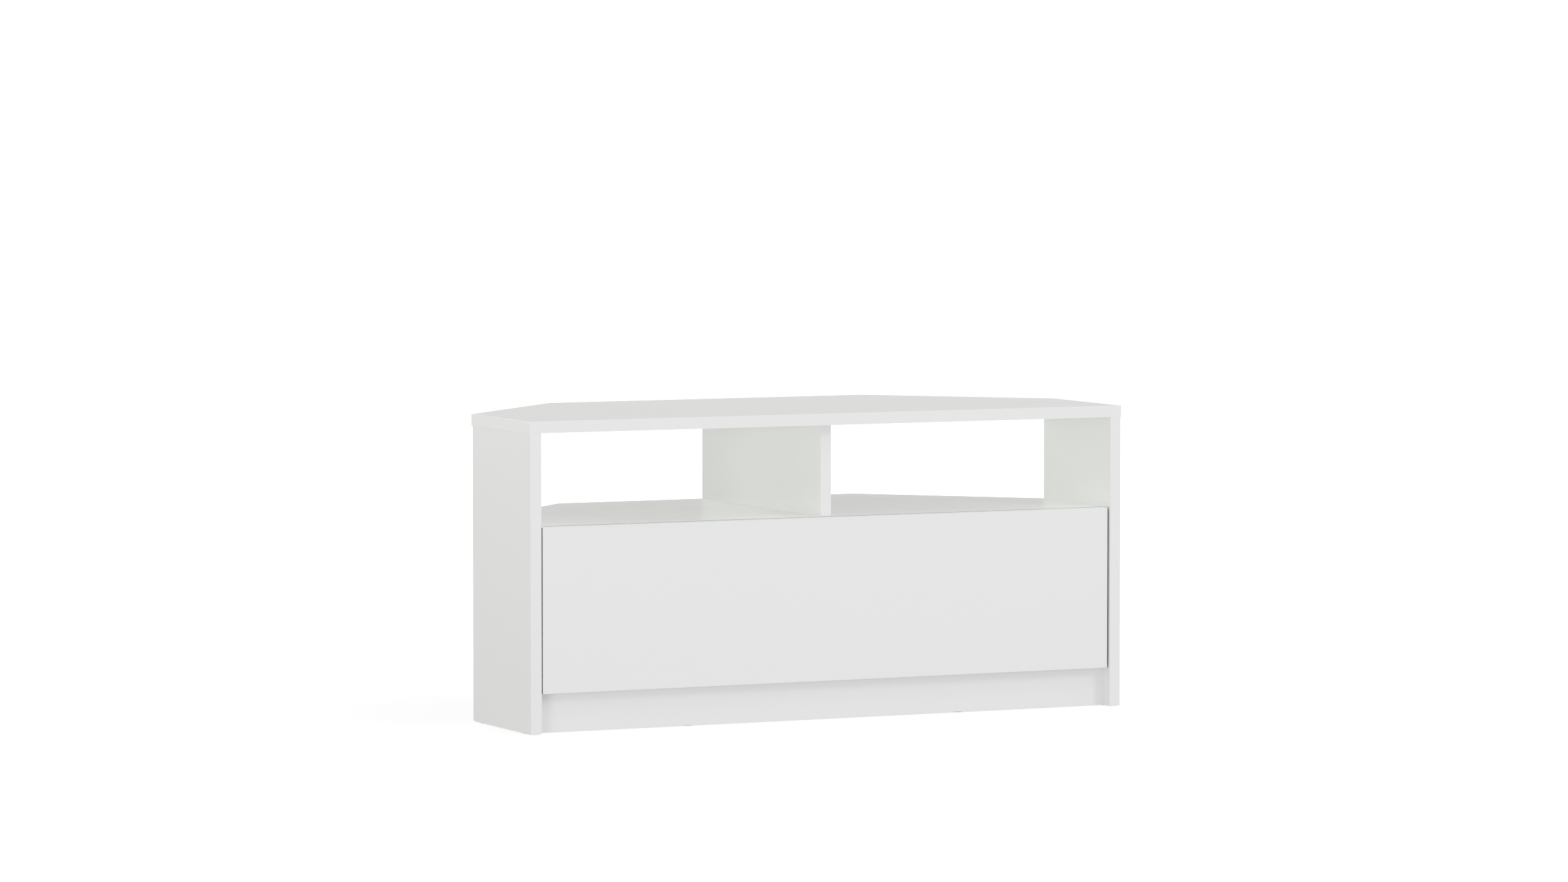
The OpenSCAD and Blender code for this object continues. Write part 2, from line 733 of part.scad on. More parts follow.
module latch_housing() {
    half = 9;
    flange_t = 2;
    color(grey_plastic) difference() {
        union() {
            box([-half, y_at(latch_d), latch_z - half], [half, y_at(latch_d + latch_len), shelf_z]);
            box([-21, y_at(latch_d + 20), shelf_z - flange_t], [21, y_at(latch_d + 40), shelf_z]);
        }
        rod([0, y_at(latch_d) - 1, latch_z], [-90, 0, 0], plunger_r + 0.1, latch_len - 4);
        at_latch_screws() translate([0, 0, -1]) cylinder(r = screw_r + 0.15, h = 4);
    }
}

module at_latch_screws()
    for (s = [-1, 1])
        translate([s * 15, y_at(latch_d + 30), shelf_z]) rotate([180, 0, 0]) children();

module latch_screws() color(steel) at_latch_screws() translate([0, 0, 2]) wood_screw(10);

module latch_plunger() {
    color(white) rod([0, y_at(magnet_d + magnet_t), latch_z], [-90, 0, 0], plunger_r, 48);
}

module latch_magnet() {
    color(steel) rod([0, y_at(magnet_d), latch_z], [-90, 0, 0], plunger_r - 0.6, magnet_t);
}

module strike_at() translate([0, y_at(door_back_d), latch_z]) rotate([-90, 0, 0]) children();

module strike_plate() {
    color(steel) strike_at() difference() {
        cylinder(r = 9, h = strike_t);
        translate([0, 0, -0.01]) cylinder(r1 = screw_r + 0.1, r2 = 2.8, h = strike_t + 0.02);
    }
}

module strike_screw() {
    color(steel) strike_at() {
        cylinder(r1 = screw_r, r2 = 2.6, h = strike_t);
        translate([0, 0, -screw_len + 2]) cylinder(r = screw_r, h = screw_len - 2);
    }
}

top_board();
top_edge_band();
side(-1);  // left_side
side(1);  // right_side
side_edge_bands();
divider();
divider_edge_bands();
middle_shelf();
bottom_shelf();
shelf_edge_bands();
shelf_seal();
front_plinth();
back_board();
rear_plinth();
back_panel(-1);  // left_back_panel
back_panel(1);  // right_back_panel
back_panel_nails();
dowels();
cam_housings();
cam_bolts();
confirmat_screws();
glides();
hinge_arm(-1);  // left_hinge_arm
hinge_arm(1);  // right_hinge_arm
hinge_plate(-1);  // left_hinge_plate
hinge_plate(1);  // right_hinge_plate
hinge_plate_screws();
hinge_arm_screws();
stay_base(-1);  // left_stay_base
stay_base(1);  // right_stay_base
stay_base_screws();
latch_housing();
latch_screws();
door_panel();
door_edge_band();
flap_end_seals();
hinge_cup(-1);  // left_hinge_cup
hinge_cup(1);  // right_hinge_cup
hinge_pins();
hinge_cup_screws();
stay_bracket(-1);  // left_stay_bracket
stay_bracket(1);  // right_stay_bracket
stay_bracket_pins();
stay_bracket_screws();
strike_plate();
strike_screw();
door_bumpers();
stay_swivel(-1);  // left_stay_swivel
stay_swivel(1);  // right_stay_swivel
brake_screw(-1);  // left_brake_screw
brake_screw(1);  // right_brake_screw
stay_rod(-1);  // left_stay_rod
stay_rod(1);  // right_stay_rod
rod_stop(-1);  // left_rod_stop
rod_stop(1);  // right_rod_stop
latch_plunger();
latch_magnet();
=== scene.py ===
"""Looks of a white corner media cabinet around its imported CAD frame.

Metres in the row frame: Z up, X across the front, -Y towards the room. Every board keeps its CAD solid with
a fine arris; the edge bands are rebuilt with rounded arrises; the hardware keeps its CAD solids with softened
edges.
"""

import math

import bpy
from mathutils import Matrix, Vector


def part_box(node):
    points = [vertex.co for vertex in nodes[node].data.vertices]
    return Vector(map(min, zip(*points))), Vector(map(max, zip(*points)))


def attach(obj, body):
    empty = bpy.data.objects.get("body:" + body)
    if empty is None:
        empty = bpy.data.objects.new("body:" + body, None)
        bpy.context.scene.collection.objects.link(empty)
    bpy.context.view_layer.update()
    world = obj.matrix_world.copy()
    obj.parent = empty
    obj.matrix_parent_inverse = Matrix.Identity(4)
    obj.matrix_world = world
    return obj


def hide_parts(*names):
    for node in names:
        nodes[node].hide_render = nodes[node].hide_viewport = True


MM = 0.001

# The edge bands: thickness, rounding of the outer arris, easing against the board, and rounding at the
# outline's corners
BAND_T = 1.0 * MM
ARRIS = 0.35 * MM
SEAM = 0.12 * MM
CORNER = 1.2 * MM
CURVE_STEPS = 5

BOARD_ARRIS = 0.12 * MM
SHARP_ANGLE = math.radians(35)


# ---------------------------------------------------------------- material helpers

# The normal's largest part, where an arris starts and where it is in full
FLAT_COSINE = 0.985
SLANTED_COSINE = 0.93


class Shader:
    """A material's node tree, with short calls for the nodes used here."""

    def __init__(self, name):
        self.mat = bpy.data.materials.new(name)
        self.mat.use_nodes = True
        self.tree = self.mat.node_tree
        self.bsdf = self.tree.nodes["Principled BSDF"]
        self.coord = self.tree.nodes.new("ShaderNodeTexCoord")

    def node(self, kind, **settings):
        node = self.tree.nodes.new(kind)
        for key, value in settings.items():
            setattr(node, key, value)
        return node

    def link(self, source, target):
        self.tree.links.new(source, target)

    def put(self, socket, value):
        """Links a socket's value, or sets a plain one."""
        if isinstance(value, bpy.types.NodeSocket):
            self.link(value, socket)
        else:
            socket.default_value = value

    def place(self, scale):
        """Object coordinates stretched by scale."""
        mapping = self.node("ShaderNodeMapping")
        mapping.inputs["Scale"].default_value = scale
        self.link(self.coord.outputs["Object"], mapping.inputs["Vector"])
        return mapping.outputs["Vector"]

    def noise(self, scale, detail=2.0, rough=0.5, vector=None, distortion=0.0):
        node = self.node("ShaderNodeTexNoise")
        node.inputs["Scale"].default_value = scale
        node.inputs["Detail"].default_value = detail
        node.inputs["Roughness"].default_value = rough
        node.inputs["Distortion"].default_value = distortion
        self.link(vector or self.coord.outputs["Object"], node.inputs["Vector"])
        return node.outputs["Fac"]

    def voronoi(self, scale, vector=None, output="Distance"):
        node = self.node("ShaderNodeTexVoronoi")
        node.inputs["Scale"].default_value = scale
        self.link(vector or self.coord.outputs["Object"], node.inputs["Vector"])
        return node.outputs[output]

    def span(self, value, low, high, out_low, out_high):
        """value taken from low-high to out_low-out_high, and held at its ends."""
        node = self.node("ShaderNodeMapRange")
        self.put(node.inputs["Value"], value)
        node.inputs["From Min"].default_value = low
        node.inputs["From Max"].default_value = high
        node.inputs["To Min"].default_value = out_low
        node.inputs["To Max"].default_value = out_high
        return node.outputs["Result"]

    def math(self, operation, a, b=0.0):
        node = self.node("ShaderNodeMath", operation=operation)
        self.put(node.inputs[0], a)
        self.put(node.inputs[1], b)
        return node.outputs[0]

    def mix(self, factor, a, b):
        """A colour between a and b."""
        node = self.node("ShaderNodeMix", data_type="RGBA")
        self.put(node.inputs["Factor"], factor)
        self.put(node.inputs["A"], (*a, 1) if isinstance(a, tuple) else a)
        self.put(node.inputs["B"], (*b, 1) if isinstance(b, tuple) else b)
        return node.outputs["Result"]

    def blend(self, factor, a, b):
        """A number between a and b."""
        node = self.node("ShaderNodeMix", data_type="FLOAT")
        self.put(node.inputs["Factor"], factor)
        self.put(node.inputs["A"], a)
        self.put(node.inputs["B"], b)
        return node.outputs["Result"]

    def bump(self, height, distance, strength=1.0, under=None):
        node = self.node("ShaderNodeBump")
        self.put(node.inputs["Strength"], strength)
        node.inputs["Distance"].default_value = distance
        self.link(height, node.inputs["Height"])
        if under is not None:
            self.link(under, node.inputs["Normal"])
        return node.outputs["Normal"]

    def normal_parts(self):
        """The object normal's X, Y and Z outputs."""
        split = self.node("ShaderNodeSeparateXYZ")
        self.link(self.coord.outputs["Normal"], split.inputs["Vector"])
        return split.outputs

    def facing(self, axis):
        """1 where the surface faces along the object's axis, either way."""
        size = self.math("ABSOLUTE", self.normal_parts()["xyz".index(axis)])
        return self.math("GREATER_THAN", size, 0.6)

    def slanted(self):
        """1 where the surface is turned away from all three of the object's axes, as on a rounded arris."""
        x, y, z = (self.math("ABSOLUTE", part) for part in self.normal_parts())
        largest = self.math("MAXIMUM", self.math("MAXIMUM", x, y), z)
        return self.span(largest, FLAT_COSINE, SLANTED_COSINE, 0.0, 1.0)

    def finish(self, color, roughness, normal=None, metallic=0.0, specular=0.5):
        self.put(self.bsdf.inputs["Base Color"], (*color, 1) if isinstance(color, tuple) else color)
        self.put(self.bsdf.inputs["Roughness"], roughness)
        self.bsdf.inputs["Metallic"].default_value = metallic
        self.bsdf.inputs["Specular IOR Level"].default_value = specular
        if normal is not None:
            self.link(normal, self.bsdf.inputs["Normal"])
        return self.mat


# Each white drifts between two close tones
BOARD_WHITE = (0.856, 0.873, 0.832), (0.868, 0.885, 0.844)
FRONT_WHITE = (0.866, 0.868, 0.864), (0.877, 0.879, 0.875)
# A lighter white painted on the rounded arrises of the bands as a highlight
ARRIS_HIGHLIGHT_WHITE = (0.885, 0.888, 0.88)
CHIP_SCALE = 320


def chipboard(sh, axis):
    """Colour and height of a raw particle-board edge: flat chips lying in the plane of the board."""
    squeeze = tuple(2.6 if a == axis else 1.0 for a in "xyz")
    chips_at = sh.place(scale=squeeze)
    chips = sh.voronoi(CHIP_SCALE, chips_at, output="Color")
    edges = sh.voronoi(CHIP_SCALE, chips_at)
    dust = sh.noise(1500, 3, 0.7)
    tone = sh.node("ShaderNodeSeparateColor")
    sh.link(chips, tone.inputs["Color"])
    color = sh.mix(tone.outputs["Red"], (0.34, 0.225, 0.125), (0.60, 0.44, 0.275))
    color = sh.mix(sh.span(dust, 0.35, 0.65, 0.0, 0.45), color, (0.22, 0.14, 0.075))
    height = sh.math("ADD", edges, sh.math("MULTIPLY", dust, 0.6))
    return color, height


def melamine(name, axis, whites):
    """White melamine on the board's two faces, which look along axis, and raw particle board elsewhere."""
    sh = Shader(name)
    pearl = sh.noise(1300, 2, 0.5)
    orange = sh.noise(260, 1, 0.4)
    film = sh.noise(2.2, 3, 0.55)
    smudge = sh.noise(16, 4, 0.6, distortion=0.6)
    white = sh.mix(sh.span(film, 0.2, 0.8, 0, 1), *whites)
    raw_color, raw_height = chipboard(sh, axis)
    face = sh.facing(axis)
    color = sh.mix(face, raw_color, white)
    satin = sh.span(smudge, 0.2, 0.8, 0.207, 0.238)
    rough = sh.blend(face, 0.86, satin)
    skin = sh.math("ADD", pearl, sh.math("MULTIPLY", orange, 1.4))
    raw = sh.bump(raw_height, 0.00035, sh.math("SUBTRACT", 1.0, face))
    normal = sh.bump(skin, 0.000012, sh.math("MULTIPLY", face, 0.6), under=raw)
    return sh.finish(color, rough, normal, specular=0.45)


def edge_band():
    """White plastic edging with a painted light tint, cooler where it faces front or back, painted highlights
    on its rougher rounded arrises, and slight waves.
    """
    sh = Shader("edge_band")
    film = sh.noise(3.0, 3, 0.55)
    waves = sh.noise(38, 2, 0.5)
    grain = sh.noise(1700, 2, 0.5)
    patch = sh.span(film, 0.2, 0.8, 0, 1)
    # Painted light tint: faces turned front or back take the front white, the other faces the greener board
    # white
    color = sh.mix(sh.facing("y"), sh.mix(patch, *BOARD_WHITE), sh.mix(patch, *FRONT_WHITE))
    arris = sh.slanted()
    # Painted highlight: the rounded arrises are mixed towards a lighter white
    color = sh.mix(arris, color, ARRIS_HIGHLIGHT_WHITE)
    satin = sh.span(sh.noise(22, 3, 0.6), 0.2, 0.8, 0.285, 0.325)
    rough = sh.blend(arris, satin, 0.6)
    normal = sh.bump(waves, 0.00003, 0.5)
    normal = sh.bump(grain, 0.00002, 0.7, under=normal)
    return sh.finish(color, rough, normal, specular=0.48)


def hardboard():
    """Brown fibre board outside, white lacquer inside."""
    sh = Shader("hardboard")
    inside = sh.math("LESS_THAN", sh.normal_parts()["Y"], -0.3)
    fibre = sh.noise(240, 6, 0.75, sh.place(scale=(1, 1, 0.35)), distortion=1.2)
    blotch = sh.noise(9, 4, 0.6)
    fleck = sh.voronoi(520, sh.place(scale=(1, 1, 0.3)))
    brown = sh.mix(sh.span(fibre, 0.3, 0.7, 0, 1), (0.215, 0.125, 0.065), (0.36, 0.225, 0.125))
    brown = sh.mix(sh.span(blotch, 0.35, 0.7, 0.0, 0.35), brown, (0.27, 0.16, 0.085))
    brown = sh.mix(sh.span(fleck, 0.0, 0.25, 0.4, 0.0), brown, (0.48, 0.33, 0.20))
    color = sh.mix(inside, brown, (0.74, 0.745, 0.735))
    rough = sh.blend(inside, sh.span(fibre, 0.3, 0.7, 0.55, 0.75), 0.42)
    normal = sh.bump(sh.math("ADD", fibre, fleck), 0.00012, sh.blend(inside, 0.8, 0.1))
    return sh.finish(color, rough, normal, specular=0.35)


def beech():
    """Beech with its grain along the dowel's height."""
    sh = Shader("beech")
    grain = sh.noise(300, 4, 0.6, sh.place(scale=(1, 1, 0.1)))
    color = sh.mix(sh.span(grain, 0.3, 0.7, 0, 1), (0.47, 0.30, 0.16), (0.66, 0.47, 0.28))
    return sh.finish(color, 0.6, sh.bump(grain, 0.0001, 0.5))


def metal(name, dark, light, rough_low, rough_high, grain_scale, cast):
    """Plated steel or zinc: fine cast or rolled grain, and cloudy plating."""
    sh = Shader(name)
    cloud = sh.noise(55, 4, 0.6, distortion=0.4)
    grain = sh.noise(grain_scale, 3, 0.6)
    wear = sh.noise(420, 5, 0.7)
    color = sh.mix(sh.span(cloud, 0.3, 0.7, 0, 1), dark, light)
    color = sh.mix(sh.span(wear, 0.62, 0.78, 0.0, 0.18), color, tuple(0.75 * c for c in dark))
    rough = sh.span(sh.math("ADD", cloud, sh.math("MULTIPLY", wear, 0.5)), 0.5, 1.0, rough_low, rough_high)
    normal = sh.bump(grain, cast, 0.6)
    return sh.finish(color, rough, normal, metallic=1.0)


def plastic(name, low, high, roughness, texture):
    """Moulded plastic with a spark-eroded grain."""
    sh = Shader(name)
    tone = sh.noise(30, 3, 0.5)
    spark = sh.voronoi(2200)
    fine = sh.noise(3000, 2, 0.6)
    color = sh.mix(sh.span(tone, 0.3, 0.7, 0, 1), low, high)
    rough = sh.span(fine, 0.3, 0.7, roughness - 0.05, roughness + 0.05)
    normal = sh.bump(sh.math("ADD", spark, fine), texture, 0.5)
    return sh.finish(color, rough, normal)


def black_foam():
    """Painted shade: matt black closed-cell foam with fine open pores, for the strips that darken the gaps
    round the flap.
    """
    sh = Shader("black_foam")
    pores = sh.voronoi(2600)
    grain = sh.noise(900, 3, 0.6)
    color = sh.mix(sh.span(pores, 0.1, 0.6, 0, 1), (0.006, 0.006, 0.0065), (0.022, 0.022, 0.023))
    return sh.finish(color, 0.92, sh.bump(sh.math("ADD", pores, grain), 0.0001, 0.6), specular=0.15)


def clear_rubber():
    """Clear, slightly cloudy soft plastic."""
    sh = Shader("clear_rubber")
    cloud = sh.noise(180, 3, 0.5)
    color = sh.mix(sh.span(cloud, 0.3, 0.7, 0, 1), (0.72, 0.74, 0.75), (0.82, 0.84, 0.85))
    mat = sh.finish(color, 0.28, sh.bump(cloud, 0.00005, 0.4))
    sh.bsdf.inputs["Transmission Weight"].default_value = 0.55
    sh.bsdf.inputs["IOR"].default_value = 1.48
    return mat


# ---------------------------------------------------------------- mesh helpers


def add_mesh(name, parts, material):
    """One smooth-shaded object from several (points, faces) pairs. Its wide faces are shaded flat."""
    points, faces = [], []
    for part_points, part_faces in parts:
        base = len(points)
        points += part_points
        faces += [[base + i for i in face] for face in part_faces]
    mesh = bpy.data.meshes.new(name)
    mesh.from_pydata([tuple(p) for p in points], [], faces)
    mesh.validate()
    mesh.update()
    for polygon in mesh.polygons:
        polygon.use_smooth = True
    mesh.set_sharp_from_angle(angle=SHARP_ANGLE)
    mesh.materials.append(material)
    piece = bpy.data.objects.new(name, mesh)
    bpy.context.scene.collection.objects.link(piece)
    flat = piece.modifiers.new("flat_faces", "WEIGHTED_NORMAL")
    flat.keep_sharp = True
    return piece


def band_profile(width):
    """Closed section of a band as (depth from the outer face, height), with its arrises rounded."""
    turns = [math.pi / 2 * i / CURVE_STEPS for i in range(CURVE_STEPS + 1)]
    lower = [(ARRIS * (1 - math.sin(turn)), ARRIS * (1 - math.cos(turn))) for turn in turns]
    upper = [(ARRIS * (1 - math.cos(turn)), width - ARRIS * (1 - math.sin(turn))) for turn in turns]
    inner = [(BAND_T - SEAM, width), (BAND_T, width - SEAM), (BAND_T, SEAM), (BAND_T - SEAM, 0)]
    return lower + upper + inner


def stitch(rings, closed):
    """Quads between rings of equally many points; open ends get a cap."""
    count, points, faces = len(rings[0]), [], []
    for ring in rings:
        points += ring
    spans = len(rings) if closed else len(rings) - 1
    for r in range(spans):
        a, b = r * count, (r + 1) % len(rings) * count
        for i in range(count):
            j = (i + 1) % count
            faces.append([a + i, a + j, b + j, b + i])
    if not closed:
        faces.append(list(range(count))[::-1])
        faces.append([(len(rings) - 1) * count + i for i in range(count)])
    return points, faces


def flip_if_inside_out(points, faces):
    """Turns every face round if the closed mesh's volume comes out negative."""
    volume = 0.0
    for face in faces:
        a = points[face[0]]
        for i in range(1, len(face) - 1):
            volume += a.dot(points[face[i]].cross(points[face[i + 1]]))
    return (points, faces) if volume > 0 else (points, [face[::-1] for face in faces])


def band_loop(outline, start, width, place):
    """A band round a convex, anticlockwise outline. place(u, v, w) puts a point in the frame."""
    rings, count = [], len(outline)
    section = band_profile(width)
    for k in range(count):
        before, here, after = outline[k - 1], outline[k], outline[(k + 1) % count]
        into = [((here[i] - before[i]), (after[i] - here[i])) for i in (0, 1)]
        lengths = [math.hypot(into[0][i], into[1][i]) for i in (0, 1)]
        normals = [(into[1][i] / lengths[i], -into[0][i] / lengths[i]) for i in (0, 1)]
        cos_half = math.sqrt((1 + normals[0][0] * normals[1][0] + normals[0][1] * normals[1][1]) / 2)
        middle = [(normals[0][i] + normals[1][i]) / (2 * cos_half) for i in (0, 1)]
        centre = [here[i] - middle[i] * CORNER / cos_half for i in (0, 1)]
        first = math.atan2(normals[0][1], normals[0][0])
        turn = (math.atan2(normals[1][1], normals[1][0]) - first) % (2 * math.pi)
        for s in range(CURVE_STEPS + 1):
            angle = first + turn * s / CURVE_STEPS
            ring = []
            for depth, height in section:
                reach = CORNER - depth
                u = centre[0] + reach * math.cos(angle)
                v = centre[1] + reach * math.sin(angle)
                ring.append(place(u, v, start + height))
            rings.append(ring)
    return flip_if_inside_out(*stitch(rings, closed=True))


def band_strip(low, high, outward, length):
    """A straight band in the box low-high. outward is its outer face's (axis, sign), length its long axis."""
    axis, sign = outward
    across = 3 - axis - length
    width = high[across] - low[across]
    rings = []
    for end in (low[length], high[length]):
        ring = []
        for depth, height in band_profile(width):
            p = [0.0, 0.0, 0.0]
            p[axis] = high[axis] - depth if sign > 0 else low[axis] + depth
            p[across] = low[across] + height
            p[length] = end
            ring.append(Vector(p))
        rings.append(ring)
    return flip_if_inside_out(*stitch(rings, closed=False))


def soften(piece, width, angle=40):
    """Welds the imported corners and rounds the edges sharper than angle by width."""
    weld = piece.modifiers.new("weld", "WELD")
    weld.merge_threshold = 1e-6
    bevel = piece.modifiers.new("arris", "BEVEL")
    bevel.width = width
    bevel.segments = 2
    bevel.limit_method = "ANGLE"
    bevel.angle_limit = math.radians(angle)
    bevel.use_clamp_overlap = True


def paint(piece, material):
    """Puts the material on the whole piece."""
    for slot in piece.material_slots:
        slot.material = material
    if not piece.material_slots:
        piece.data.materials.append(material)


# ---------------------------------------------------------------- the cabinet

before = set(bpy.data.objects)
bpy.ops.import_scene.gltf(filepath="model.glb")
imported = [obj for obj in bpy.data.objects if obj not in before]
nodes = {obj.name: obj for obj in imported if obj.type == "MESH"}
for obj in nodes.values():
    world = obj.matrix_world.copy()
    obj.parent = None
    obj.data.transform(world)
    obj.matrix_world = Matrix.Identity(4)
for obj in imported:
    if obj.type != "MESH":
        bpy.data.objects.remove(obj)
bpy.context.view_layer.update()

BOARD = {axis: melamine("melamine_" + axis, axis, BOARD_WHITE) for axis in "xyz"}
FRONT = melamine("front_white", "y", FRONT_WHITE)
BAND = edge_band()
HARDBOARD = hardboard()
BEECH = beech()
ZINC = metal("nickelled_zinc", (0.50, 0.51, 0.53), (0.66, 0.67, 0.69), 0.285, 0.40, 900, 0.00004)
STEEL = metal("plated_steel", (0.46, 0.47, 0.49), (0.63, 0.64, 0.66), 0.19, 0.265, 1500, 0.00002)
GREY = plastic("grey_plastic", (0.36, 0.37, 0.38), (0.41, 0.42, 0.43), 0.45, 0.00003)
WHITE_PLASTIC = plastic("white_plastic", (0.74, 0.745, 0.74), (0.78, 0.785, 0.78), 0.35, 0.00002)
RUBBER = clear_rubber()
# Black strips that paint the shade in the gaps round the flap
GAP_SHADE_FOAM = black_foam()

# Each board, with the axis that its two faces look along
BOARDS = {
    "top_board": "z", "middle_shelf": "z", "bottom_shelf": "z",
    "left_side": "x", "right_side": "x", "divider": "x",
    "front_plinth": "y", "back_board": "y", "rear_plinth": "y", "door_panel": "y",
}
FRONTS = ("door_panel", "front_plinth")
# Each other CAD node, with its material and the rounding of its edges in mm
FINISH = {
    "left_back_panel": (HARDBOARD, 0.2), "right_back_panel": (HARDBOARD, 0.2), "dowels": (BEECH, 0.3),
    "cam_housings": (ZINC, 0.25), "confirmat_screws": (ZINC, 0.2), "back_panel_nails": (STEEL, 0.2),
    "cam_bolts": (STEEL, 0.2), "glides": (GREY, 0.3), "latch_housing": (GREY, 0.8),
    "latch_plunger": (WHITE_PLASTIC, 0.5), "latch_magnet": (STEEL, 0.25), "latch_screws": (STEEL, 0.2),
    "strike_plate": (STEEL, 0.25), "strike_screw": (STEEL, 0.15), "door_bumpers": (RUBBER, 0.6),
    "hinge_pins": (STEEL, 0.2), "hinge_plate_screws": (STEEL, 0.2), "hinge_arm_screws": (STEEL, 0.3),
    "hinge_cup_screws": (STEEL, 0.2), "stay_base_screws": (STEEL, 0.2), "stay_bracket_pins": (STEEL, 0.3),
    # The shelf seal and the flap's end seals are black strips that paint the shade in the gaps round the flap
    "stay_bracket_screws": (STEEL, 0.2), "shelf_seal": (GAP_SHADE_FOAM, 0.15), "flap_end_seals": (GAP_SHADE_FOAM, 0.15),
}
for side in ("left", "right"):
    FINISH.update({
        side + "_hinge_cup": (ZINC, 0.45), side + "_hinge_arm": (ZINC, 0.4),
        side + "_hinge_plate": (ZINC, 0.6), side + "_stay_base": (ZINC, 0.5),
        side + "_stay_bracket": (ZINC, 0.3), side + "_brake_screw": (ZINC, 0.3),
        side + "_stay_rod": (STEEL, 0.4), side + "_rod_stop": (GREY, 0.6),
        side + "_stay_swivel": (GREY, 0.8),
    })

for name, axis in BOARDS.items():
    paint(nodes[name], FRONT if name in FRONTS else BOARD[axis])
    soften(nodes[name], BOARD_ARRIS, angle=60)
for name, (material, width) in FINISH.items():
    paint(nodes[name], material)
    soften(nodes[name], width * MM)


def whole_band(name, node, parts, body):
    """An edge band that replaces its CAD node and rides on body."""
    piece = add_mesh(name, parts, BAND)
    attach(piece, body)
    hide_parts(node)


def front_and_back(x0, x1, low, high):
    """Upright bands from x0 to x1 on the front and the back edge of the box low-high."""
    return [
        band_strip((x0, y0, low.z), (x1, y0 + BAND_T, high.z), (1, sign), 2)
        for y0, sign in ((low.y, -1), (high.y - BAND_T, 1))
    ]


# Round the six-sided top. Its outline comes from the band's CAD solid.
low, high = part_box("top_edge_band")
points = [v.co for v in nodes["top_edge_band"].data.vertices]
back_x = max(p.x for p in points if p.y > high.y - 1e-5)
side_y = max(p.y for p in points if p.x > high.x - 1e-5)
top_outline = [
    (low.x, low.y), (high.x, low.y), (high.x, side_y), (back_x, high.y), (-back_x, high.y), (low.x, side_y),
]
whole_band(
    "top_band", "top_edge_band",
    [band_loop(top_outline, low.z, high.z - low.z, lambda u, v, w: Vector((u, v, w)))],
    "carcass",
)

# Round the flap. u is x and v is z, and the section's height runs back from the face to the inner side.
low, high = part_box("door_edge_band")
door_outline = [(low.x, low.z), (high.x, low.z), (high.x, high.z), (low.x, high.z)]
whole_band(
    "flap_band", "door_edge_band",
    [band_loop(door_outline, low.y, high.y - low.y, lambda u, v, w: Vector((u, w, v)))],
    "door",
)

# Straight bands on the sides, the divider and the two shelves
low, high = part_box("side_edge_bands")
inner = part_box("right_side")[0].x
strips = front_and_back(low.x, -inner, low, high) + front_and_back(inner, high.x, low, high)
whole_band("side_bands", "side_edge_bands", strips, "carcass")

low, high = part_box("divider_edge_bands")
whole_band("divider_bands", "divider_edge_bands", front_and_back(low.x, high.x, low, high), "carcass")

strips = []
for shelf in ("middle_shelf", "bottom_shelf"):
    low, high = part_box(shelf)
    strips.append(band_strip((low.x, low.y - BAND_T, low.z), (high.x, low.y, high.z), (1, -1), 0))
whole_band("shelf_bands", "shelf_edge_bands", strips, "carcass")


# ---------------------------------------------------------------- stage, light and camera

# The sky's grey overhead and at the horizon, and the height, as a sine, where it turns from one to the other
SKY_LIGHT = 0.37
HORIZON_LIGHT = 0.35
HORIZON_HEIGHT = 0.4
# The floors' own light, at the two distances from the cabinet's middle in GLOW_REACH
FLOOR_GLOW = (0.5, 1.0)
BOUNCE_GLOW = (0.1, 0.2)
GLOW_REACH = (0.65, 2.3)
GLOW_COLOR = (1, 1, 1.04, 1)
FLOOR_REACH = 400
# Strength of the soft shoulder in the camera's tone curve
SHOULDER = 2.0
LAMP_TARGET = (0, -0.05, 0.25)
LAMP_DISTANCE = 8.0
LAMP_WIDTH = 2.5
LOW, TALL = 0.6, 2.5
# Azimuth and elevation in degrees, the lamp's own height in metres and its power in W
LAMPS = {
    "left_front": (-50, 3, LOW, 105),
    "right_high": (40, 30, TALL, 105),
    "above_front": (30, 60, TALL, 65),
    "right": (75, 12, TALL, 20),
    "behind": (180, 20, TALL, 250),
    "behind_left": (-150, 3, LOW, 20),
}
# The camera looks CAMERA_DOWN degrees below level, turned CAMERA_TURN degrees from straight at the front
CAMERA_PLACE = (-4.356, -9.167, 1.044)
CAMERA_DOWN = 3.545
CAMERA_TURN = -25.555


def stage_floor(name, z, shade, glow, seen):
    """A wide floor. The one the camera sees only catches the shadow; the other one only bounces light."""
    mesh = bpy.data.meshes.new(name)
    corners = [(FLOOR_REACH * x, FLOOR_REACH * y, 0) for x, y in ((-1, -1), (1, -1), (1, 1), (-1, 1))]
    mesh.from_pydata(corners, [], [(0, 1, 2, 3)])
    piece = bpy.data.objects.new(name, mesh)
    bpy.context.scene.collection.objects.link(piece)
    piece.location.z = z
    sh = Shader(name)
    light, dark = (shade,) * 3, (shade - 0.015,) * 3
    mesh.materials.append(sh.finish(sh.mix(sh.noise(0.8, 2), dark, light), 0.9, specular=0.0))
    sh.bsdf.inputs["Emission Color"].default_value = GLOW_COLOR
    away = sh.node("ShaderNodeVectorMath", operation="LENGTH")
    sh.link(sh.coord.outputs["Object"], away.inputs[0])
    sh.put(sh.bsdf.inputs["Emission Strength"], sh.span(away.outputs["Value"], *GLOW_REACH, *glow))
    piece.visible_camera = seen
    piece.visible_diffuse = piece.visible_glossy = piece.visible_transmission = not seen


stage_floor("floor", -0.2 * MM, 0.9, FLOOR_GLOW, True)
stage_floor("bounce_floor", -0.4 * MM, 0.75, BOUNCE_GLOW, False)

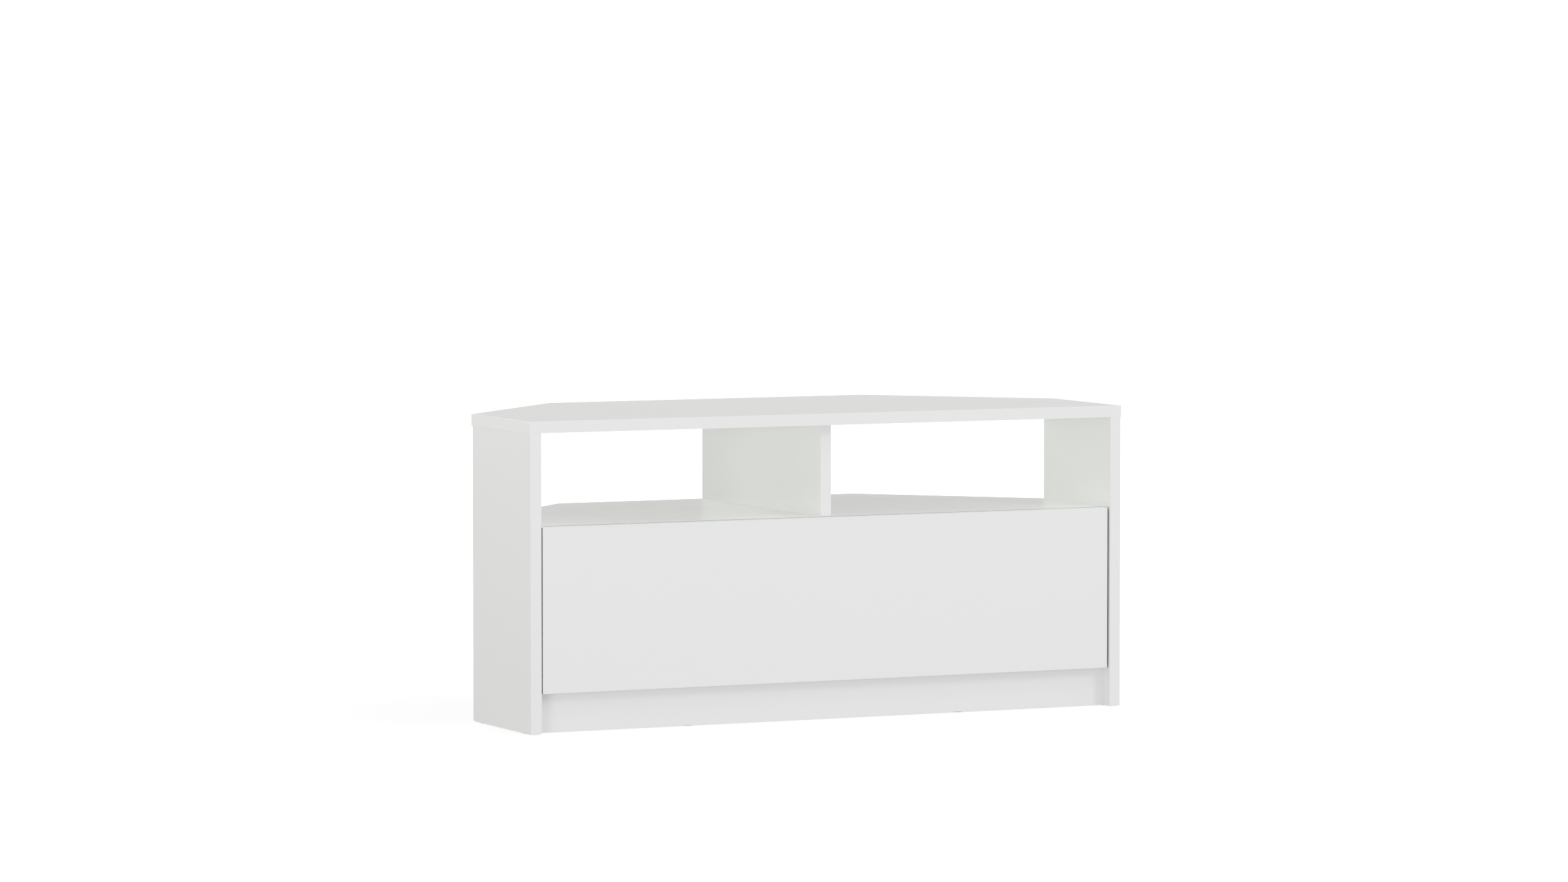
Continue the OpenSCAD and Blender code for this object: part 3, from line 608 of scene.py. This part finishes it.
# The world: white behind the cabinet for the camera, a grey sky for every other ray
world = bpy.data.worlds.new("studio")
bpy.context.scene.world = world
world.use_nodes = True
tree = world.node_tree
rays = tree.nodes.new("ShaderNodeLightPath")
choose = tree.nodes.new("ShaderNodeMix")
choose.data_type = "RGBA"
tree.links.new(rays.outputs["Is Camera Ray"], choose.inputs["Factor"])
choose.inputs["B"].default_value = (1, 1, 1, 1)
direction = tree.nodes.new("ShaderNodeTexCoord")
height = tree.nodes.new("ShaderNodeSeparateXYZ")
tree.links.new(direction.outputs["Generated"], height.inputs["Vector"])
fade = tree.nodes.new("ShaderNodeMapRange")
fade.inputs["From Min"].default_value = 0
fade.inputs["From Max"].default_value = HORIZON_HEIGHT
tree.links.new(height.outputs["Z"], fade.inputs["Value"])
sky = tree.nodes.new("ShaderNodeMix")
sky.data_type = "RGBA"
tree.links.new(fade.outputs["Result"], sky.inputs["Factor"])
sky.inputs["A"].default_value = (HORIZON_LIGHT,) * 3 + (1,)
sky.inputs["B"].default_value = (SKY_LIGHT,) * 3 + (1,)
tree.links.new(sky.outputs["Result"], choose.inputs["A"])
tree.links.new(choose.outputs["Result"], tree.nodes["Background"].inputs["Color"])


def softbox(name, azimuth, elevation, tall, power):
    """A soft light. Azimuth 0 is in front of the cabinet, positive to its right; power is in W."""
    turn, rise = math.radians(azimuth), math.radians(elevation)
    away = Vector((math.sin(turn) * math.cos(rise), -math.cos(turn) * math.cos(rise), math.sin(rise)))
    data = bpy.data.lights.new(name, "AREA")
    data.shape = "RECTANGLE"
    data.size = LAMP_WIDTH
    data.size_y = tall
    data.energy = power
    lamp = bpy.data.objects.new(name, data)
    lamp.location = Vector(LAMP_TARGET) + LAMP_DISTANCE * away
    lamp.rotation_euler = (-away).to_track_quat("-Z", "Y").to_euler()
    bpy.context.scene.collection.objects.link(lamp)


for name, lamp in LAMPS.items():
    softbox(name, *lamp)

camera_data = bpy.data.cameras.new("camera")
camera_data.lens = 150
camera_data.sensor_width = 36
camera_data.clip_end = 2000
camera = bpy.data.objects.new("camera", camera_data)
camera.location = CAMERA_PLACE
camera.rotation_euler = (math.radians(90 - CAMERA_DOWN), 0, math.radians(CAMERA_TURN))
bpy.context.scene.collection.objects.link(camera)
bpy.context.scene.camera = camera

# The camera's tone curve: a soft shoulder, so white faces turned to and from the light stay close together
view = bpy.context.scene.view_settings
view.view_transform = "Standard"
view.use_curve_mapping = True
curve = view.curve_mapping.curves[3]
for step in (0.05, *(tenth / 10 for tenth in range(1, 10))):
    curve.points.new(step, (1 - math.exp(-SHOULDER * step)) / (1 - math.exp(-SHOULDER)))
view.curve_mapping.update()
